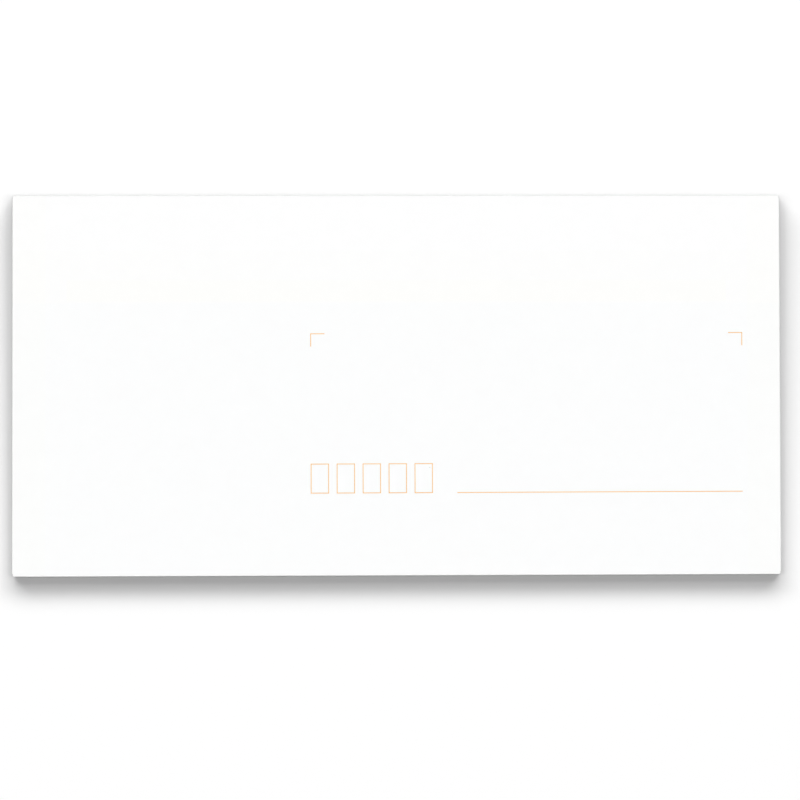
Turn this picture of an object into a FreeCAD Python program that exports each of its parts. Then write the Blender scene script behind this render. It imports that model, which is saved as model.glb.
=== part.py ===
import FreeCAD, Part
import math
import os

import Sketcher
from FreeCAD import Vector

# A business envelope of the long DL size, lying on its back with its address side up. One die-cut sheet of
# white paper makes it: a front panel, a narrow flap that turns in at each side, a back panel that turns up
# from the bottom and is glued to the side flaps, and a closure flap that turns down from the top and lies
# folded under, unsealed. A strip of dried gum lies on the closure flap, and the address guides are printed
# on the front.
#
# The sheet is drawn face up in a level stack whose top, the printed face, is z = 0, with x along the width
# and y from the bottom fold to the opening. Each layer lies one paper and its gap below the last. The
# placement that every piece shares then lays the stack down on the closure flap and the bottom fold.

# Driving dimensions in millimetres, and the angle in degrees
DIMENSIONS = {
    # The folded envelope and its paper, about 100 g per square metre
    "envelope_width": 220.0,
    "envelope_height": 109.0,
    "paper_thickness": 0.12,
    # The room inside a pressed crease, and between the back and the closure flap where it turns down
    "crease_gap": 0.2,
    "flap_clearance": 0.25,
    # The side flaps, glued between the front and the back, with tapered ends
    "side_flap_width": 9.4,
    "side_flap_end_gap": 0.5,
    "side_flap_top_taper": 10.0,
    "side_flap_bottom_taper": 4.0,
    "side_flap_corner_radius": 2.0,
    # The back panel, which stops short of the top fold and leaves the throat open
    "throat_depth": 15.9,
    "back_panel_inset": 0.2,
    "back_panel_corner_radius": 5.0,
    # The closure flap, measured from the top fold's outer edge
    "closure_flap_depth": 31.0,
    "closure_flap_inset": 0.1,
    "closure_flap_taper": 6.5,
    "closure_flap_corner_radius": 8.0,
    # The gum on the closure flap's inner face
    "gum_length": 189.0,
    "gum_width": 6.1,
    "gum_edge_margin": 0.5,
    "gum_thickness": 0.03,
    # The printed guides: margins from the envelope's edges to the middle of the outermost lines
    "print_margin_left": 85.25,
    "print_margin_right": 10.9,
    "print_margin_bottom": 23.6,
    "print_height": 45.6,
    "print_turn": 0.1,
    "line_weight": 0.25,
    "ink_thickness": 0.03,
    "box_count": 5,
    "box_width": 5.0,
    "box_height": 8.3,
    "box_pitch": 7.43,
    "address_line_gap": 7.13,
    "corner_arm": 3.95,
    "corner_drop": 3.65,
}

doc = FreeCAD.newDocument("paper_envelope")
sheet = doc.addObject("Spreadsheet::Sheet", "sizes")
for row, (alias, number) in enumerate(DIMENSIONS.items(), start=1):
    sheet.set(f"A{row}", alias)
    sheet.set(f"B{row}", str(number))
    sheet.setAlias(f"B{row}", alias)
doc.recompute()

# Inside radius of each fold: half the layers that it wraps and the gaps between them
SIDE_RADIUS = "(sizes.crease_gap / 2)"
BOTTOM_RADIUS = "((sizes.crease_gap + sizes.paper_thickness) / 2)"
CLOSURE_RADIUS = "((sizes.crease_gap + 2 * sizes.paper_thickness + sizes.flap_clearance) / 2)"

# Where the fold axes lie: the flat front panel runs from one to the next
SIDE_AXIS = f"(sizes.envelope_width / 2 - sizes.paper_thickness - {SIDE_RADIUS})"
BOTTOM_AXIS = f"(sizes.envelope_height / 2 - sizes.paper_thickness - {BOTTOM_RADIUS})"
CLOSURE_AXIS = f"(sizes.envelope_height / 2 - sizes.paper_thickness - {CLOSURE_RADIUS})"

# Lower side of each layer of the stack
FRONT_LEVEL = "(-sizes.paper_thickness)"
SIDE_FLAP_LEVEL = "(-2 * sizes.paper_thickness - sizes.crease_gap)"
BACK_LEVEL = "(-3 * sizes.paper_thickness - sizes.crease_gap)"

# The closure fold is thicker than the bottom fold, so the line that touches both leans by this much
LEAN = f"(2 * atan(({CLOSURE_RADIUS} - {BOTTOM_RADIUS}) / ({CLOSURE_AXIS} + {BOTTOM_AXIS})))"

BACK_HALF_WIDTH = f"({SIDE_AXIS} - sizes.back_panel_inset)"
FLAP_HALF_WIDTH = f"({SIDE_AXIS} - sizes.closure_flap_inset)"
FLAP_REACH = f"(sizes.closure_flap_depth - sizes.paper_thickness - {CLOSURE_RADIUS})"
PRINT_WIDTH = "(sizes.envelope_width - sizes.print_margin_left - sizes.print_margin_right)"

# How a sketch numbers the ends of a line or arc, and its own origin
START, END = 1, 2
ORIGIN = -1


def place(x="0", y="0", z="0", turn="0", axis="0; 0; 1"):
    """A placement as an expression: a shift, and a turn about an axis through the shifted origin."""
    return f"placement(vector({x}; {y}; {z}); rotation(vector({axis}); {turn}))"


# The placement of every piece: the stack turns about the closure fold's axis and rises to lie on z = 0
AT_REST = (
    f"placement(vector(0; 0; 2 * (sizes.paper_thickness + {CLOSURE_RADIUS}));"
    f" rotation(vector(1; 0; 0); {LEAN});"
    f" vector(0; {CLOSURE_AXIS}; -sizes.paper_thickness - {CLOSURE_RADIUS}))"
)

# The closure flap's own plane goes through its fold axis and leans towards the back
FLAP_PLANE = place(
    y=CLOSURE_AXIS,
    z=f"-sizes.paper_thickness - {CLOSURE_RADIUS}",
    turn=f"-{LEAN}",
    axis="1; 0; 0",
)

# The print turns a little out of square with the paper, about its own lower left corner
PRINT_PLANE = place(
    x="sizes.print_margin_left - sizes.envelope_width / 2",
    y="sizes.print_margin_bottom - sizes.envelope_height / 2",
    turn="sizes.print_turn",
)


def new_body(label):
    """A sub-part, laid down as it rests."""
    body = doc.addObject("PartDesign::Body", label)
    body.Label = label
    body.setExpression("Placement", AT_REST)
    return body


def origin_plane(body, role):
    """One of the body's own origin planes."""
    return next(plane for plane in body.Origin.OriginFeatures if plane.Role == role)


def new_sketch(body, name, role, offset):
    """A sketch on an origin plane of the body, moved by a placement expression in the plane's own axes."""
    sketch = body.newObject("Sketcher::SketchObject", name)
    sketch.AttachmentSupport = [(origin_plane(body, role), "")]
    sketch.MapMode = "FlatFace"
    sketch.setExpression("AttachmentOffset", offset)
    return sketch


def tie(sketch, kind, places, expression):
    """Adds a constraint whose value follows an expression."""
    value = float(sketch.evalExpression(expression))
    index = sketch.addConstraint(Sketcher.Constraint(kind, *places, value))
    sketch.setExpression(f"Constraints[{index}]", expression)


def tie_point(sketch, geometry, end, corner):
    """Fixes a point at its distances from the sketch's origin."""
    tie(sketch, "DistanceX", (ORIGIN, START, geometry, end), corner[0])
    tie(sketch, "DistanceY", (ORIGIN, START, geometry, end), corner[1])


def round_corner(before, corner, after, radius):
    """Start, middle and end of the arc that rounds a corner between its neighbours."""
    back = (before - corner).normalize()
    ahead = (after - corner).normalize()
    half_angle = back.getAngle(ahead) / 2
    run = radius / math.tan(half_angle)
    inwards = (back + ahead).normalize()
    centre = corner + inwards * (radius / math.sin(half_angle))
    return corner + back * run, centre - inwards * radius, corner + ahead * run


def draw_outline(sketch, *corners):
    """Draws a closed outline, anticlockwise, through corners given as expressions: x, y and any radius."""
    spots = [Vector(*(float(sketch.evalExpression(text)) for text in corner[:2]), 0) for corner in corners]
    arcs = {}
    for index, corner in enumerate(corners):
        if len(corner) == 3:
            following = spots[(index + 1) % len(spots)]
            radius = float(sketch.evalExpression(corner[2]))
            arcs[index] = round_corner(spots[index - 1], spots[index], following, radius)
    lines = []
    for index, spot in enumerate(spots):
        following = (index + 1) % len(spots)
        start = arcs[index][2] if index in arcs else spot
        end = arcs[following][0] if following in arcs else spots[following]
        lines.append(sketch.addGeometry(Part.LineSegment(start, end)))
    for index, corner in enumerate(corners):
        before, after = lines[index - 1], lines[index]
        if index not in arcs:
            sketch.addConstraint(Sketcher.Constraint("Coincident", before, END, after, START))
            tie_point(sketch, after, START, corner)
            continue
        arc = sketch.addGeometry(Part.Arc(*arcs[index]))
        sketch.addConstraint(Sketcher.Constraint("Tangent", before, END, arc, START))
        sketch.addConstraint(Sketcher.Constraint("Tangent", arc, END, after, START))
        tie(sketch, "Radius", (arc,), corner[2])
        tip = sketch.addGeometry(Part.Point(spots[index]), True)
        sketch.addConstraint(Sketcher.Constraint("PointOnObject", tip, START, before))
        sketch.addConstraint(Sketcher.Constraint("PointOnObject", tip, START, after))
        tie_point(sketch, tip, START, corner)


def rectangle(left, right, bottom, top):
    """The four corners of a rectangle, anticlockwise."""
    return (left, bottom), (right, bottom), (right, top), (left, top)


def pad(body, name, sketch, thickness):
    """Raises a sketch's outline by a thickness."""
    feature = body.newObject("PartDesign::Pad", name)
    feature.Profile = sketch
    feature.setExpression("Length", thickness)
    sketch.Visibility = False
    return feature


def add_panel(body, name, offset, *corners):
    """One flat die-cut panel of the sheet, as thick as the paper, with its lower side at the offset."""
    sketch = new_sketch(body, f"{name}_outline", "XY_Plane", offset)
    draw_outline(sketch, *corners)
    return pad(body, name, sketch, "sizes.paper_thickness")


def add_fold(body, name, role, offset, start, end, radius, angle, reverse=False):
    """One crease: the section along a panel's edge, rolled round the fold axis, the sketch's own x axis."""
    sketch = new_sketch(body, f"{name}_section", role, offset)
    draw_outline(sketch, *rectangle(start, end, radius, f"{radius} + sizes.paper_thickness"))
    feature = body.newObject("PartDesign::Revolution", name)
    feature.Profile = sketch
    feature.ReferenceAxis = (sketch, ["H_Axis"])
    feature.Reversed = reverse
    feature.setExpression("Angle", angle)
    sketch.Visibility = False
    return feature


def build_envelope():
    """The folded sheet: panels and creases, in the order in which the machine folds them."""
    body = new_body("envelope")
    front = rectangle(f"-{SIDE_AXIS}", SIDE_AXIS, f"-{BOTTOM_AXIS}", CLOSURE_AXIS)
    add_panel(body, "front_panel", place(z=FRONT_LEVEL), *front)

    # The side flaps turn in under the front: the right one is drawn and the left one mirrors it
    flap_bottom = f"(sizes.side_flap_end_gap - {BOTTOM_AXIS})"
    flap_top = f"({CLOSURE_AXIS} - sizes.side_flap_end_gap)"
    flap_edge = "(sizes.envelope_width / 2 - sizes.side_flap_width)"
    side_fold = add_fold(
        body,
        "side_fold",
        "YZ_Plane",
        place(y=f"-sizes.paper_thickness - {SIDE_RADIUS}", z=SIDE_AXIS),
        flap_bottom,
        flap_top,
        SIDE_RADIUS,
        "180",
    )
    side_flap = add_panel(
        body,
        "side_flap",
        place(z=SIDE_FLAP_LEVEL),
        (SIDE_AXIS, flap_bottom),
        (SIDE_AXIS, flap_top),
        (flap_edge, f"{flap_top} - sizes.side_flap_top_taper", "sizes.side_flap_corner_radius"),
        (flap_edge, f"{flap_bottom} + sizes.side_flap_bottom_taper", "sizes.side_flap_corner_radius"),
    )
    left_side = body.newObject("PartDesign::Mirrored", "left_side")
    left_side.Originals = [side_fold, side_flap]
    left_side.MirrorPlane = (origin_plane(body, "YZ_Plane"), [""])
    body.Tip = left_side

    # The back turns up over the side flaps and lies face to face on them, glued, up to the throat
    back_top = "(sizes.envelope_height / 2 - sizes.throat_depth)"
    add_fold(
        body,
        "bottom_fold",
        "XZ_Plane",
        place(y=f"-sizes.paper_thickness - {BOTTOM_RADIUS}", z=BOTTOM_AXIS),
        f"-{BACK_HALF_WIDTH}",
        BACK_HALF_WIDTH,
        BOTTOM_RADIUS,
        "180",
    )
    add_panel(
        body,
        "back_panel",
        place(z=BACK_LEVEL),
        (f"-{BACK_HALF_WIDTH}", f"-{BOTTOM_AXIS}"),
        (BACK_HALF_WIDTH, f"-{BOTTOM_AXIS}"),
        (BACK_HALF_WIDTH, back_top, "sizes.back_panel_corner_radius"),
        (f"-{BACK_HALF_WIDTH}", back_top, "sizes.back_panel_corner_radius"),
    )

    # The closure flap turns down outside the back and a little past half a turn, to lie flat at rest
    add_fold(
        body,
        "closure_fold",
        "XZ_Plane",
        place(y=f"-sizes.paper_thickness - {CLOSURE_RADIUS}", z=f"-{CLOSURE_AXIS}"),
        f"-{FLAP_HALF_WIDTH}",
        FLAP_HALF_WIDTH,
        CLOSURE_RADIUS,
        f"180 deg + {LEAN}",
        reverse=True,
    )
    tip_half_width = f"({FLAP_HALF_WIDTH} - sizes.closure_flap_taper)"
    add_panel(
        body,
        "closure_flap",
        f"{FLAP_PLANE} * {place(z=f'-sizes.paper_thickness - {CLOSURE_RADIUS}')}",
        (f"-{tip_half_width}", f"-{FLAP_REACH}", "sizes.closure_flap_corner_radius"),
        (tip_half_width, f"-{FLAP_REACH}", "sizes.closure_flap_corner_radius"),
        (FLAP_HALF_WIDTH, "0"),
        (f"-{FLAP_HALF_WIDTH}", "0"),
    )
    return body


def build_gum_strip():
    """The band of dried gum on the closure flap's inner face, just short of its free edge."""
    body = new_body("gum_strip")
    sketch = new_sketch(body, "gum_outline", "XY_Plane", f"{FLAP_PLANE} * {place(z=f'-{CLOSURE_RADIUS}')}")
    lower = f"(sizes.gum_edge_margin - {FLAP_REACH})"
    ends = rectangle("-sizes.gum_length / 2", "sizes.gum_length / 2", lower, f"{lower} + sizes.gum_width")
    draw_outline(sketch, *ends)
    pad(body, "gum", sketch, "sizes.gum_thickness")
    return body


def build_postcode_boxes():
    """The row of printed boxes: one frame of line, repeated at the pitch."""
    body = new_body("postcode_boxes")
    sketch = new_sketch(body, "box_outline", "XY_Plane", PRINT_PLANE)
    for inset in "(-sizes.line_weight / 2)", "(sizes.line_weight / 2)":
        right, top = f"sizes.box_width - {inset}", f"sizes.box_height - {inset}"
        draw_outline(sketch, *rectangle(inset, right, inset, top))
    box = pad(body, "box", sketch, "sizes.ink_thickness")
    row_of_boxes = body.newObject("PartDesign::LinearPattern", "row_of_boxes")
    row_of_boxes.Originals = [box]
    row_of_boxes.Direction = (sketch, ["H_Axis"])
    row_of_boxes.setExpression("Length", "sizes.box_pitch * (sizes.box_count - 1)")
    row_of_boxes.setExpression("Occurrences", "sizes.box_count")
    body.Tip = row_of_boxes
    return body


def build_address_line():
    """The printed rule that runs on from the foot of the boxes to the right end of the print."""
    body = new_body("address_line")
    sketch = new_sketch(body, "rule_outline", "XY_Plane", PRINT_PLANE)
    half_line = "sizes.line_weight / 2"
    start = "sizes.box_pitch * (sizes.box_count - 1) + sizes.box_width + sizes.address_line_gap"
    draw_outline(sketch, *rectangle(start, PRINT_WIDTH, f"-{half_line}", half_line))
    pad(body, "rule", sketch, "sizes.ink_thickness")
    return body


def build_corner_marks():
    """The two printed angles at the top of the address area: the right one mirrors the left."""
    body = new_body("corner_marks")
    middle_top = place(x=f"{PRINT_WIDTH} / 2", y="sizes.print_height")
    sketch = new_sketch(body, "corner_outline", "XY_Plane", f"{PRINT_PLANE} * {middle_top}")
    half_line = "sizes.line_weight / 2"
    outside, inside = f"-{PRINT_WIDTH} / 2 - {half_line}", f"-{PRINT_WIDTH} / 2 + {half_line}"
    arm_end = f"-{PRINT_WIDTH} / 2 + sizes.corner_arm"
    draw_outline(
        sketch,
        (outside, "-sizes.corner_drop"),
        (inside, "-sizes.corner_drop"),
        (inside, f"-{half_line}"),
        (arm_end, f"-{half_line}"),
        (arm_end, half_line),
        (outside, half_line),
    )
    left_mark = pad(body, "left_mark", sketch, "sizes.ink_thickness")
    right_mark = body.newObject("PartDesign::Mirrored", "right_mark")
    right_mark.Originals = [left_mark]
    right_mark.MirrorPlane = (sketch, ["V_Axis"])
    body.Tip = right_mark
    return body


sub_parts = [
    build_envelope(),
    build_gum_strip(),
    build_postcode_boxes(),
    build_address_line(),
    build_corner_marks(),
]
doc.recompute()

for item in doc.Objects:
    if "Invalid" in item.State or "Error" in item.State:
        raise RuntimeError(f"{item.Name} failed to build: {item.State}")
for body in sub_parts:
    if body.Shape.isNull() or not body.Shape.isValid():
        raise RuntimeError(f"{body.Label} has no valid shape")

os.makedirs("parts", exist_ok=True)
for body in sub_parts:
    body.Shape.exportStep(f"parts/{body.Label}.step")
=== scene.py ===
from math import atan, cos, pi, radians, sin, tan

import bmesh
import bpy
from mathutils import Matrix, Vector, noise


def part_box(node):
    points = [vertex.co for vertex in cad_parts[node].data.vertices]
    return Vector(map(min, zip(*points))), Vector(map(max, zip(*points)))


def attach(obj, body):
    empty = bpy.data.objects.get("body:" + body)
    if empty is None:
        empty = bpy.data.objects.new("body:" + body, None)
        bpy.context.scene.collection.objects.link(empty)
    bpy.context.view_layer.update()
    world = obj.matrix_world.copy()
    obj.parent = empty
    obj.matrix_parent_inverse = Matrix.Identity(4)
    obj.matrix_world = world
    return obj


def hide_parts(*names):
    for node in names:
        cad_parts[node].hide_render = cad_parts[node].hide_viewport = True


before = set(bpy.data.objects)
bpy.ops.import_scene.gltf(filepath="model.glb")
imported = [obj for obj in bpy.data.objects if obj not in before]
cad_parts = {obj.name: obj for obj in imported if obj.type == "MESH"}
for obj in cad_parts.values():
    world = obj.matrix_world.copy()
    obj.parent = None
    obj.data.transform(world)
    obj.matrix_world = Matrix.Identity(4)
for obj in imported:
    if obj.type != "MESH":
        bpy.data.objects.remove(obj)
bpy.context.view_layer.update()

# The folded sheet. A die-cut blank of bleached white woodfree paper, machine folded: the side flaps turn in,
# the back is glued over them, and the closure flap is turned down under the back but not stuck. Its panels
# lie almost flat, with the faint crown and cockle that pressed paper keeps.
MM = 0.001
PAPER = 0.12 * MM
CREASE_GAP = 0.2 * MM
SIDE_FLAP_WIDTH = 9.4 * MM
SIDE_FLAP_END_GAP = 0.5 * MM
SIDE_FLAP_TOP_TAPER = 10 * MM
SIDE_FLAP_BOTTOM_TAPER = 4 * MM
SIDE_FLAP_CORNER = 2 * MM
THROAT_DEPTH = 15.9 * MM
BACK_INSET = 0.2 * MM
BACK_CORNER = 5 * MM
FLAP_DEPTH = 31 * MM
FLAP_INSET = 0.1 * MM
FLAP_TAPER = 6.5 * MM
FLAP_CORNER = 8 * MM
SEAM_GLUE = 0.02 * MM

# Each crease is a half cylinder whose outer radius takes in the paper, the layers inside it and their gaps
low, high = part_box("envelope")
half_width = high.x
half_height = high.y
side_radius = CREASE_GAP / 2 + PAPER
bottom_radius = (CREASE_GAP + PAPER) / 2 + PAPER
closure_radius = (high.z - low.z) / 2
side_axis = half_width - side_radius
bottom_axis = half_height - bottom_radius
closure_axis = half_height - closure_radius
lean = 2 * atan((closure_radius - bottom_radius) / (closure_axis + bottom_axis))
side_crease = pi * side_radius
bottom_crease = pi * bottom_radius
closure_crease = (pi + lean) * closure_radius

# The blank lies printed side up in z = 0, with the front panel in the middle and a flap beyond each crease
side_flap_start = side_axis + side_crease
side_flap_end = side_flap_start + SIDE_FLAP_WIDTH - side_radius
side_flap_bottom = SIDE_FLAP_END_GAP - bottom_axis
side_flap_top = closure_axis - SIDE_FLAP_END_GAP
back_start = -bottom_axis - bottom_crease
back_end = back_start - (half_height - THROAT_DEPTH + bottom_axis)
back_half_width = side_axis - BACK_INSET
flap_start = closure_axis + closure_crease
flap_end = flap_start + FLAP_DEPTH - closure_radius
flap_half_width = side_axis - FLAP_INSET
half_outline = [
    (0, back_end, 0),
    (back_half_width, back_end, BACK_CORNER),
    (back_half_width, -bottom_axis, 0),
    (side_axis, -bottom_axis, 0),
    (side_axis, side_flap_bottom, 0),
    (side_flap_start, side_flap_bottom, 0),
    (side_flap_end, side_flap_bottom + SIDE_FLAP_BOTTOM_TAPER, SIDE_FLAP_CORNER),
    (side_flap_end, side_flap_top - SIDE_FLAP_TOP_TAPER, SIDE_FLAP_CORNER),
    (side_flap_start, side_flap_top, 0),
    (side_axis, side_flap_top, 0),
    (side_axis, closure_axis, 0),
    (flap_half_width, closure_axis, 0),
    (flap_half_width, flap_start, 0),
    (flap_half_width - FLAP_TAPER, flap_end, FLAP_CORNER),
    (0, flap_end, 0),
]


def rows(start, end, spacing):
    """Evenly spaced places from start to end, about spacing apart."""
    count = max(1, round(abs(end - start) / spacing))
    return [start + (end - start) * step / count for step in range(count + 1)]


# Points closer together than this are one point, and closer to the mirror than this are on it
SAME_PLACE = 1e-7
ON_MIRROR = 1e-6


def slice_up(mesh, x_rows, y_rows):
    """Cuts a flat mesh along rows, so that it can bend there."""
    for normal, places in ((Vector((1, 0, 0)), x_rows), (Vector((0, 1, 0)), y_rows)):
        for place in places:
            row = normal * place
            parts = mesh.verts[:] + mesh.edges[:] + mesh.faces[:]
            bmesh.ops.bisect_plane(mesh, geom=parts, dist=SAME_PLACE, plane_co=row, plane_no=normal)


def mirror_right_half(mesh):
    """Completes a flat mesh with the mirror image of its right half."""
    parts = mesh.verts[:] + mesh.edges[:] + mesh.faces[:]
    bmesh.ops.mirror(mesh, geom=parts, axis="X", merge_dist=ON_MIRROR)
    bmesh.ops.remove_doubles(mesh, verts=mesh.verts[:], dist=SAME_PLACE)
    bmesh.ops.recalc_face_normals(mesh, faces=mesh.faces[:])
    if mesh.faces[0].normal.z < 0:
        bmesh.ops.reverse_faces(mesh, faces=mesh.faces[:])


FRONT_CROWN = 0.1 * MM
BACK_CROWN = 0.06 * MM
COCKLE = 0.012 * MM
COCKLE_LENGTH = 32 * MM


def swell(place, start, end):
    """A smooth rise from nothing at start and end to one half way."""
    share = (place - start) / (end - start)
    return sin(pi * share) ** 2 if 0 < share < 1 else 0


def rise(x, y):
    """How far the paper stands out of its flat plane there, on the blank."""
    wave = noise.noise(Vector((x, y, 0)) / COCKLE_LENGTH)
    across = swell(x, -side_axis, side_axis) ** 0.5
    front = swell(y, -bottom_axis, closure_axis)
    back = swell(y, back_start, back_end)
    side_flap = min(max((abs(x) - side_flap_start) / SIDE_FLAP_CORNER, 0), 1)
    crown = FRONT_CROWN * front + BACK_CROWN * back
    return across * (crown + COCKLE * wave * (front + back)) - SEAM_GLUE * side_flap


def fold(mesh, outwards, axis, radius, angle):
    """Rolls what lies beyond a crease's axis round it and down under the sheet."""
    for vert in mesh.verts:
        beyond = vert.co.dot(outwards) - axis
        if beyond <= 0:
            continue
        turn = min(beyond / radius, angle)
        straight = beyond - turn * radius
        height = vert.co.z
        vert.co += outwards * ((radius + height) * sin(turn) + straight * cos(turn) - beyond)
        vert.co.z = (radius + height) * cos(turn) - straight * sin(turn) - radius


def lay_down(mesh):
    """Turns the folded stack about the closure fold until it lies on the closure flap and the bottom fold."""
    axis = Matrix.Translation((0, closure_axis, -closure_radius))
    raised = Matrix.Translation((0, 0, 2 * closure_radius))
    matrix = raised @ axis @ Matrix.Rotation(lean, 4, "X") @ axis.inverted()
    bmesh.ops.transform(mesh, matrix=matrix, verts=mesh.verts[:])


SHARP_ANGLE = radians(35)


def thicken(mesh, thickness):
    """Gives a sheet its thickness, behind the side that its faces look out of."""
    bmesh.ops.solidify(mesh, geom=mesh.faces[:], thickness=thickness)


def make_piece(name, mesh):
    """Turns a finished mesh into an object of the scene, smooth apart from its cut edges."""
    data = bpy.data.meshes.new(name)
    mesh.to_mesh(data)
    mesh.free()
    data.shade_smooth()
    data.set_sharp_from_angle(angle=SHARP_ANGLE)
    piece = bpy.data.objects.new(name, data)
    bpy.context.scene.collection.objects.link(piece)
    return piece


# Each panel is cut in cells, with a narrow row beside each crease so that its roundness stays at the crease
CELL = 2 * MM
CREASE_ROW = 0.12 * MM
CREASE_STEPS = 8
ARC_STEPS = 6


def panel_rows(start, end):
    """The rows of a panel whose start is at a crease, or its end, or both."""
    return [start + CREASE_ROW] + rows(start, end, CELL)[1:-1] + [end - CREASE_ROW]


def crease_rows(start, end):
    """The rows round a crease, its two ends included."""
    return rows(start, end, (end - start) / CREASE_STEPS)


blank = bmesh.new()
corners = [blank.verts.new((x, y, 0)) for x, y, _ in half_outline]
blank.faces.new(corners)
for corner, (_, _, radius) in zip(corners, half_outline):
    if radius:
        # A rounded corner is cut by the chord of its arc, which follows from the angle between its edges
        edges = [edge.other_vert(corner).co - corner.co for edge in corner.link_edges]
        chord = 2 * radius * cos(edges[0].angle(edges[1]) / 2)
        bmesh.ops.bevel(
            blank,
            geom=[corner],
            offset=chord,
            offset_type="WIDTH",
            affect="VERTICES",
            segments=ARC_STEPS,
            profile=0.5,
            material=-1,
        )
across = rows(0, side_axis, CELL)[1:-1] + [side_axis - CREASE_ROW]
across += crease_rows(side_axis, side_flap_start) + panel_rows(side_flap_start, side_flap_end)
upwards = panel_rows(back_end, back_start) + crease_rows(back_start, -bottom_axis)
upwards += panel_rows(-bottom_axis, closure_axis)
upwards += crease_rows(closure_axis, flap_start) + panel_rows(flap_start, flap_end)
slice_up(blank, across, upwards)
mirror_right_half(blank)
for vert in blank.verts:
    vert.co.z = rise(vert.co.x, vert.co.y)
fold(blank, Vector((1, 0, 0)), side_axis, side_radius, pi)
fold(blank, Vector((-1, 0, 0)), side_axis, side_radius, pi)
fold(blank, Vector((0, -1, 0)), bottom_axis, bottom_radius, pi)
fold(blank, Vector((0, 1, 0)), closure_axis, closure_radius, pi + lean)
lay_down(blank)
thicken(blank, PAPER)
envelope = make_piece("folded_sheet", blank)


def linear(hex_colour):
    """An sRGB hex colour as linear red, green, blue and a full alpha."""
    shares = [int(hex_colour[start : start + 2], 16) / 255 for start in (1, 3, 5)]
    return [share / 12.92 if share <= 0.04045 else ((share + 0.055) / 1.055) ** 2.4 for share in shares] + [1]


def add_node(tree, kind, inputs=None, **settings):
    """Adds a node with its settings; inputs gives each socket a value or the socket that feeds it."""
    node = tree.nodes.new(kind)
    for name, value in settings.items():
        setattr(node, name, value)
    for name, value in (inputs or {}).items():
        if isinstance(value, bpy.types.NodeSocket):
            tree.links.new(value, node.inputs[name])
        else:
            node.inputs[name].default_value = value
    return node


def new_material(name):
    """An empty node material and its output."""
    material = bpy.data.materials.new(name)
    material.use_nodes = True
    material.node_tree.nodes.clear()
    output = add_node(material.node_tree, "ShaderNodeOutputMaterial")
    return material, material.node_tree, output


# A Mix node has sockets of one name for numbers and for colours, so those for colours go by number
COLOUR_A = 6
COLOUR_B = 7
MIXED_COLOUR = 2

# What lies under the front, for the gum strip and for the painted show-through on the front
GUM_LENGTH = 189 * MM
GUM_WIDTH = 6.1 * MM
GUM_EDGE_MARGIN = 0.5 * MM
SHOW_BLUR = 0.6 * MM
throat = half_height - THROAT_DEPTH
flap_edge = half_height - FLAP_DEPTH
side_flap_edge = half_width - SIDE_FLAP_WIDTH
gum_low = flap_edge + GUM_EDGE_MARGIN

CLOUD_WIDTH = 5 * MM
GRAIN_WIDTH = 0.4 * MM
GRAIN_HEIGHT = 0.0006 * MM
SPECK_PLACE = (9.2 * MM, -23.6 * MM, 0)
SPECK_RADIUS = 0.12 * MM


def paint_over(tree, colour, mask, hex_colour, strength):
    """Multiplies a colour by a tint where a mask socket is one, as strongly as the strength says."""
    share = add_node(tree, "ShaderNodeMath", {0: mask, 1: strength}, operation="MULTIPLY")
    tinted = add_node(
        tree,
        "ShaderNodeMix",
        {"Factor": share.outputs[0], COLOUR_A: colour, COLOUR_B: linear(hex_colour)},
        data_type="RGBA",
        blend_type="MULTIPLY",
    )
    return tinted.outputs[MIXED_COLOUR]


def below(tree, value, edge, blur):
    """A mask that is one where the value is under the edge and nothing above it, blurred between."""
    span = {"From Min": edge - blur / 2, "From Max": edge + blur / 2, "To Min": 1, "To Max": 0}
    ramp = add_node(tree, "ShaderNodeMapRange", {"Value": value, **span}, interpolation_type="SMOOTHSTEP")
    return ramp.outputs[0]


def above(tree, value, edge, blur):
    """A mask that is one where the value is over the edge, the reverse of below."""
    under = below(tree, value, edge, blur)
    return add_node(tree, "ShaderNodeMath", {0: 1, 1: under}, operation="SUBTRACT").outputs[0]


def overlap(tree, *masks):
    """A mask that is one only where all the masks are."""
    common = masks[0]
    for mask in masks[1:]:
        common = add_node(tree, "ShaderNodeMath", {0: common, 1: mask}, operation="MULTIPLY").outputs[0]
    return common
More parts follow.
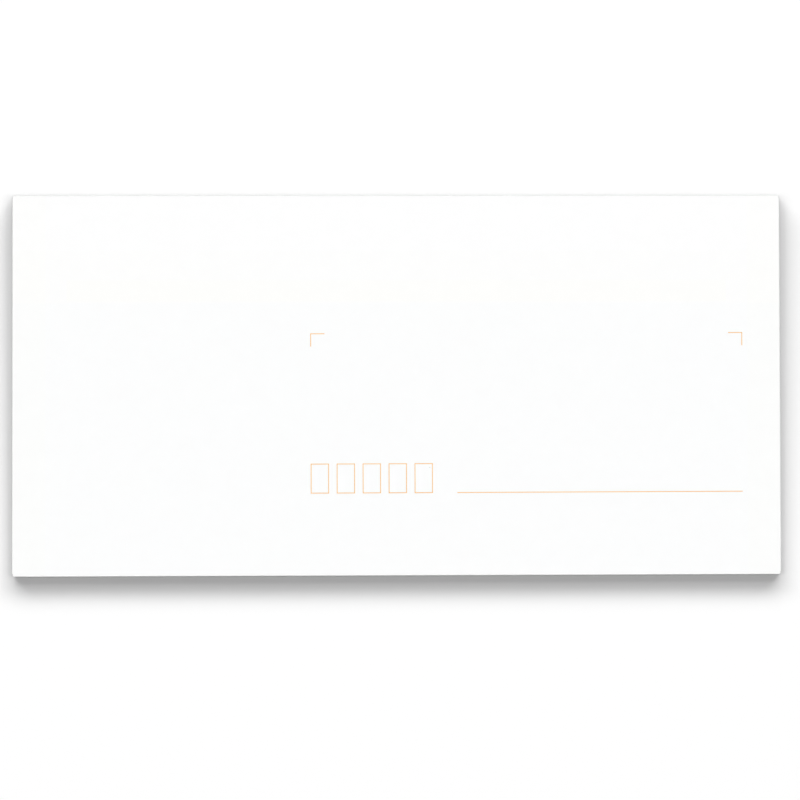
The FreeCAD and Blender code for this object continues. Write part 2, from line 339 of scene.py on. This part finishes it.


# Woodfree offset paper, bleached and uncoated: a cool near white, dead matt, slightly cloudy where fibres
# clump. Real fibres are 0.03 mm wide, too fine to show, so the grain is drawn at 0.4 mm. The front's white
# is tinted a little by the layers behind it, a painted show-through of the light they send back through
# the paper, and the one speck in the sheet is a scrap of bark.
def woodfree_paper():
    material, tree, output = new_material("woodfree_paper")
    place = add_node(tree, "ShaderNodeTexCoord").outputs["Object"]
    cloud = add_node(
        tree,
        "ShaderNodeTexNoise",
        {"Vector": place, "Scale": 1 / CLOUD_WIDTH, "Detail": 3, "Roughness": 0.5},
    )
    clouds = add_node(
        tree,
        "ShaderNodeMix",
        {"Factor": cloud.outputs["Fac"], COLOUR_A: linear("#FCFCFC"), COLOUR_B: linear("#FFFFFF")},
        data_type="RGBA",
    )

    # Painted show-through: masks of the front where the back panel lies behind it, where the closure
    # flap doesn't, and where the side flaps and the gum do
    along = add_node(tree, "ShaderNodeSeparateXYZ", {"Vector": place}).outputs
    outwards = add_node(tree, "ShaderNodeMath", {0: along["X"]}, operation="ABSOLUTE").outputs[0]
    facing = add_node(tree, "ShaderNodeNewGeometry").outputs["Normal"]
    facing_up = add_node(tree, "ShaderNodeSeparateXYZ", {"Vector": facing}).outputs["Z"]
    front = add_node(tree, "ShaderNodeMath", {0: facing_up, 1: 0.5}, operation="GREATER_THAN").outputs[0]
    show_through_back_panel = overlap(tree, front, below(tree, along["Y"], throat, SHOW_BLUR))
    show_through_no_flap = overlap(tree, front, below(tree, along["Y"], flap_edge, SHOW_BLUR))
    show_through_side_flaps = overlap(tree, front, above(tree, outwards, side_flap_edge, SHOW_BLUR))
    show_through_gum = overlap(
        tree,
        front,
        below(tree, outwards, GUM_LENGTH / 2, SHOW_BLUR),
        above(tree, along["Y"], gum_low, SHOW_BLUR),
        below(tree, along["Y"], gum_low + GUM_WIDTH, SHOW_BLUR),
    )
    # Painted show-through: each tint stands in for the light that the layers behind send back through the
    # front
    colour = paint_over(tree, clouds.outputs[MIXED_COLOUR], show_through_back_panel, "#FEFEFD", 0.5)
    colour = paint_over(tree, colour, show_through_no_flap, "#FDFEFF", 0.5)
    colour = paint_over(tree, colour, show_through_side_flaps, "#FFFFFE", 0.8)
    colour = paint_over(tree, colour, show_through_gum, "#FFFFFD", 0.65)

    # The speck is measured from straight above, so it is found whatever the sheet's height is there
    flat_place = add_node(tree, "ShaderNodeVectorMath", {0: place, 1: (1, 1, 0)}, operation="MULTIPLY")
    from_speck = add_node(
        tree,
        "ShaderNodeVectorMath",
        {0: flat_place.outputs[0], 1: SPECK_PLACE},
        operation="DISTANCE",
    )
    speck = overlap(tree, front, below(tree, from_speck.outputs["Value"], SPECK_RADIUS, SPECK_RADIUS))
    colour = paint_over(tree, colour, speck, "#CFCAC2", 1)
    grain = add_node(
        tree,
        "ShaderNodeTexNoise",
        {"Vector": place, "Scale": 1 / GRAIN_WIDTH, "Detail": 4, "Roughness": 0.6},
    )
    bump = add_node(
        tree,
        "ShaderNodeBump",
        {"Height": grain.outputs["Fac"], "Distance": GRAIN_HEIGHT, "Strength": 1},
    )
    shader = add_node(
        tree,
        "ShaderNodeBsdfPrincipled",
        {
            "Base Color": colour,
            "Roughness": 0.92,
            "Specular IOR Level": 0.15,
            "Normal": bump.outputs["Normal"],
        },
    )
    tree.links.new(shader.outputs["BSDF"], output.inputs["Surface"])
    return material


envelope.data.materials.append(woodfree_paper())
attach(envelope, "root")
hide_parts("envelope")

# The gum strip. A band of remoistening gum, rolled on wet along the closure flap's inner face before it was
# folded, and dried to a thin, faintly yellow film.
GUM_FILM = 0.03 * MM


def add_rectangle(mesh, left, right, bottom, top):
    """A flat rectangular face that looks up."""
    corners = (left, bottom), (right, bottom), (right, top), (left, top)
    face = mesh.faces.new([mesh.verts.new((x, y, 0)) for x, y in corners])
    face.normal_update()
    return face


gum_mesh = bmesh.new()
gum_top = flap_end - GUM_EDGE_MARGIN
add_rectangle(gum_mesh, -GUM_LENGTH / 2, GUM_LENGTH / 2, gum_top - GUM_WIDTH, gum_top)
gum_columns = rows(-GUM_LENGTH / 2, GUM_LENGTH / 2, CELL)[1:-1]
slice_up(gum_mesh, gum_columns, rows(gum_top - GUM_WIDTH, gum_top, CELL)[1:-1])
for vert in gum_mesh.verts:
    vert.co.z = rise(vert.co.x, vert.co.y) - PAPER
fold(gum_mesh, Vector((0, 1, 0)), closure_axis, closure_radius, pi + lean)
lay_down(gum_mesh)
thicken(gum_mesh, GUM_FILM)
gum_strip = make_piece("dried_gum_strip", gum_mesh)

GUM_PATCH = 1.5 * MM
GUM_RELIEF = 0.01 * MM


# Dextrin gum, laid on by a roller and dried: a clear film with a faint straw tint, glossier than the paper
# and a little uneven, in patches where it went on thicker.
def dried_gum():
    material, tree, output = new_material("dried_gum")
    place = add_node(tree, "ShaderNodeTexCoord").outputs["Object"]
    patches = add_node(
        tree,
        "ShaderNodeTexNoise",
        {"Vector": place, "Scale": 1 / GUM_PATCH, "Detail": 2},
    )
    colour = add_node(
        tree,
        "ShaderNodeMix",
        {"Factor": patches.outputs["Fac"], COLOUR_A: linear("#F4EEDA"), COLOUR_B: linear("#EDE3C2")},
        data_type="RGBA",
    )
    bump = add_node(tree, "ShaderNodeBump", {"Height": patches.outputs["Fac"], "Distance": GUM_RELIEF})
    shader = add_node(
        tree,
        "ShaderNodeBsdfPrincipled",
        {
            "Base Color": colour.outputs[MIXED_COLOUR],
            "Roughness": 0.25,
            "IOR": 1.47,
            "Normal": bump.outputs["Normal"],
        },
    )
    tree.links.new(shader.outputs["BSDF"], output.inputs["Surface"])
    return material


gum_strip.data.materials.append(dried_gum())
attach(gum_strip, "root")
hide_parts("gum_strip")

# The printed guides. One orange ink, offset printed before the blank was cut: a row of boxes for a post code,
# a rule that runs on from their foot, and two angles that mark the top of the address.
LINE_WEIGHT = 0.25 * MM
INK_FILM = 0.004 * MM
MARGIN_LEFT = 85.25 * MM
MARGIN_RIGHT = 10.9 * MM
MARGIN_BOTTOM = 23.6 * MM
PRINT_HEIGHT = 45.6 * MM
PRINT_TURN = radians(0.1)
BOX_COUNT = 5
BOX_WIDTH = 5 * MM
BOX_HEIGHT = 8.3 * MM
BOX_PITCH = 7.43 * MM
ADDRESS_LINE_GAP = 7.13 * MM
CORNER_ARM = 3.95 * MM
CORNER_DROP = 3.65 * MM
INK_MOTTLE = 0.5 * MM
print_width = 2 * half_width - MARGIN_LEFT - MARGIN_RIGHT
half_line = LINE_WEIGHT / 2


# Orange offset ink, printed thin on uncoated paper: it sinks in and dries matt, paler than in the tin, and
# mottled where the fibres take less of it.
def offset_ink():
    material, tree, output = new_material("orange_offset_ink")
    place = add_node(tree, "ShaderNodeTexCoord").outputs["Object"]
    coverage = add_node(
        tree,
        "ShaderNodeTexNoise",
        {"Vector": place, "Scale": 1 / INK_MOTTLE, "Detail": 3},
    )
    colour = add_node(
        tree,
        "ShaderNodeMix",
        {"Factor": coverage.outputs["Fac"], COLOUR_A: linear("#EEB96C"), COLOUR_B: linear("#F3CB90")},
        data_type="RGBA",
    )
    shader = add_node(
        tree,
        "ShaderNodeBsdfPrincipled",
        {"Base Color": colour.outputs[MIXED_COLOUR], "Roughness": 0.7, "Specular IOR Level": 0.3},
    )
    tree.links.new(shader.outputs["BSDF"], output.inputs["Surface"])
    return material


ink = offset_ink()


def print_piece(name, mesh, node):
    """Lays a flat print on the paper's face, as thick as its ink, and makes it ride with the envelope."""
    slice_up(mesh, rows(0, print_width, CELL)[1:-1], rows(0, PRINT_HEIGHT, CELL)[1:-1])
    turn = Matrix.Rotation(PRINT_TURN, 4, "Z")
    to_corner = Matrix.Translation((MARGIN_LEFT - half_width, MARGIN_BOTTOM - half_height, 0))
    bmesh.ops.transform(mesh, matrix=to_corner @ turn, verts=mesh.verts[:])
    for vert in mesh.verts:
        vert.co.z = rise(vert.co.x, vert.co.y) + INK_FILM
    lay_down(mesh)
    thicken(mesh, INK_FILM)
    piece = make_piece(name, mesh)
    piece.data.materials.append(ink)
    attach(piece, "root")
    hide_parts(node)
    return piece


boxes = bmesh.new()
for index in range(BOX_COUNT):
    left = index * BOX_PITCH - half_line
    right = left + BOX_WIDTH + LINE_WEIGHT
    box = add_rectangle(boxes, left, right, -half_line, BOX_HEIGHT + half_line)
    bmesh.ops.inset_individual(boxes, faces=[box], thickness=LINE_WEIGHT, use_even_offset=True)
    bmesh.ops.delete(boxes, geom=[box], context="FACES")
prints = [print_piece("postcode_box_print", boxes, "postcode_boxes")]

rule = bmesh.new()
rule_start = (BOX_COUNT - 1) * BOX_PITCH + BOX_WIDTH + ADDRESS_LINE_GAP
add_rectangle(rule, rule_start, print_width, -half_line, half_line)
prints.append(print_piece("address_rule_print", rule, "address_line"))

angles = bmesh.new()
for end, inwards in ((0, 1), (print_width, -1)):
    inner, outer = end + inwards * half_line, end - inwards * half_line
    tip = end + inwards * CORNER_ARM
    foot = PRINT_HEIGHT - CORNER_DROP
    lower, upper = PRINT_HEIGHT - half_line, PRINT_HEIGHT + half_line
    outline = [(outer, foot), (inner, foot), (inner, lower), (tip, lower), (tip, upper), (outer, upper)]
    angles.faces.new([angles.verts.new((x, y, 0)) for x, y in outline[::inwards]])
prints.append(print_piece("corner_angle_print", angles, "corner_marks"))

# The studio's table. Plain white, and a hair under the sheet, so that the two never lie in one plane.
FLOOR_SIZE = 3
FLOOR_DROP = 0.02 * MM
# How far the painted contact shadow reaches, and how dark it is at the sheet's foot
PAINTED_SHADOW_REACH = 6 * MM
PAINTED_CONTACT_SHADE = 0.66
floor_mesh = bmesh.new()
bmesh.ops.create_grid(floor_mesh, x_segments=1, y_segments=1, size=FLOOR_SIZE / 2)
bmesh.ops.translate(floor_mesh, vec=(0, 0, -FLOOR_DROP), verts=floor_mesh.verts[:])
floor = make_piece("table_top", floor_mesh)


# Matt white laminate: white to the camera and in reflections, a pale grey to the light that bounces off it,
# with a painted contact shadow close to the sheet, darker where the sheet hides more of the room from it.
def white_table():
    material, tree, output = new_material("white_table")
    rays = add_node(tree, "ShaderNodeLightPath")
    seen = add_node(
        tree,
        "ShaderNodeMath",
        {0: rays.outputs["Is Camera Ray"], 1: rays.outputs["Is Glossy Ray"]},
        operation="MAXIMUM",
    )
    # Painted contact shadow: the table's colour darkens where the sheet hides part of the room from it
    contact = add_node(tree, "ShaderNodeAmbientOcclusion", {"Distance": PAINTED_SHADOW_REACH}, samples=16)
    painted_shade = add_node(
        tree,
        "ShaderNodeMapRange",
        {
            "Value": contact.outputs["AO"],
            "From Min": 0.5,
            "From Max": 1,
            "To Min": PAINTED_CONTACT_SHADE,
            "To Max": 1,
        },
    )
    colour = add_node(
        tree,
        "ShaderNodeMix",
        {"Factor": seen.outputs[0], COLOUR_A: linear("#E6E6E6"), COLOUR_B: painted_shade.outputs[0]},
        data_type="RGBA",
    )
    shader = add_node(tree, "ShaderNodeBsdfDiffuse", {"Color": colour.outputs[MIXED_COLOUR]})
    tree.links.new(shader.outputs["BSDF"], output.inputs["Surface"])
    return material


floor.data.materials.append(white_table())

# The studio's lamps. Low softboxes at the far side and at both ends light the table alone and draw the
# sheet's soft shadow on it, and higher ones on four sides light the sheet alone. A lamp's share is its part
# of the light on what it lights, and the level makes white paper white.
LIGHT_LEVEL = 1.141
ROOM_SHARE = 0.14
LAMP_DISTANCE = 24


def receivers(name, *pieces):
    """A collection of what a lamp lights."""
    collection = bpy.data.collections.new(name)
    for piece in pieces:
        collection.objects.link(piece)
    return collection


def add_softbox(name, azimuth, elevation, width, depth, share, lit):
    """A lamp that faces the middle of the table, its angles in degrees and azimuth 0 at the far side."""
    azimuth, elevation = radians(azimuth), radians(elevation)
    direction = Vector((sin(azimuth) * cos(elevation), cos(azimuth) * cos(elevation), sin(elevation)))
    lamp = bpy.data.lights.new(name, "AREA")
    lamp.shape = "RECTANGLE"
    lamp.size = 2 * LAMP_DISTANCE * tan(radians(width) / 2)
    lamp.size_y = 2 * LAMP_DISTANCE * tan(radians(depth) / 2)
    # At level 1, a lamp with a share of 1 would by itself light flat white paper to just white
    lamp.energy = LIGHT_LEVEL * share * (pi * LAMP_DISTANCE) ** 2 / sin(elevation)
    holder = bpy.data.objects.new(name, lamp)
    facing = direction.to_track_quat("Z", "Y").to_matrix().to_4x4()
    holder.matrix_world = Matrix.Translation(direction * LAMP_DISTANCE) @ facing
    holder.visible_camera = False
    holder.light_linking.receiver_collection = lit
    bpy.context.scene.collection.objects.link(holder)


on_table = receivers("lit_on_table", floor)
on_sheet = receivers("lit_on_sheet", envelope, gum_strip, *prints)
FAR_ROWS = {"low": (4.1, 2.2, 0.166), "middle": (6.2, 2, 0.088), "high": (10.7, 7, 0.069)}
for side in (-1, 1):
    for row, (elevation, depth, share) in FAR_ROWS.items():
        name = f"far_softbox_{row}_{side}"
        add_softbox(name, 25 * side, elevation, width=50, depth=depth, share=share, lit=on_table)
    name = f"low_side_softbox_{side}"
    add_softbox(name, 90 * side, elevation=16.5, width=40, depth=19, share=0.097, lit=on_table)
    name = f"high_side_softbox_{side}"
    add_softbox(name, 90 * side, elevation=35, width=40, depth=30, share=0.19, lit=on_sheet)
for name, azimuth in (("high_far_softbox", 0), ("high_near_softbox", 180)):
    add_softbox(name, azimuth, elevation=40, width=40, depth=30, share=0.234, lit=on_sheet)

# The studio's room, white to the camera and dimmer as a light
world = bpy.data.worlds.new("white_room")
world.use_nodes = True
room = world.node_tree
room.nodes.clear()
rays = add_node(room, "ShaderNodeLightPath")
strength = add_node(
    room,
    "ShaderNodeMapRange",
    {"Value": rays.outputs["Is Camera Ray"], "To Min": LIGHT_LEVEL * ROOM_SHARE, "To Max": 1},
)
background = add_node(
    room,
    "ShaderNodeBackground",
    {"Color": linear("#FFFFFF"), "Strength": strength.outputs[0]},
)
add_node(room, "ShaderNodeOutputWorld", {"Surface": background.outputs[0]})
bpy.context.scene.world = world
bpy.context.scene.view_settings.view_transform = "Standard"

# The camera stands over the sheet and looks down, a degree off plumb in pitch and in yaw
CAMERA_PLACE = Vector((-8.61, -15.25, 541.62)) * MM
CAMERA_PITCH = radians(1.159)
CAMERA_YAW = radians(-0.988)
CAMERA_ROLL = radians(-0.115)
CAMERA_LENS = 85
view = bpy.data.cameras.new("camera")
view.lens = CAMERA_LENS
camera = bpy.data.objects.new("camera", view)
tilt = Matrix.Rotation(CAMERA_PITCH, 4, "X") @ Matrix.Rotation(CAMERA_YAW, 4, "Y")
turn = Matrix.Rotation(CAMERA_ROLL, 4, "Z")
camera.matrix_world = Matrix.Translation(CAMERA_PLACE) @ tilt @ turn
bpy.context.scene.collection.objects.link(camera)
bpy.context.scene.camera = camera
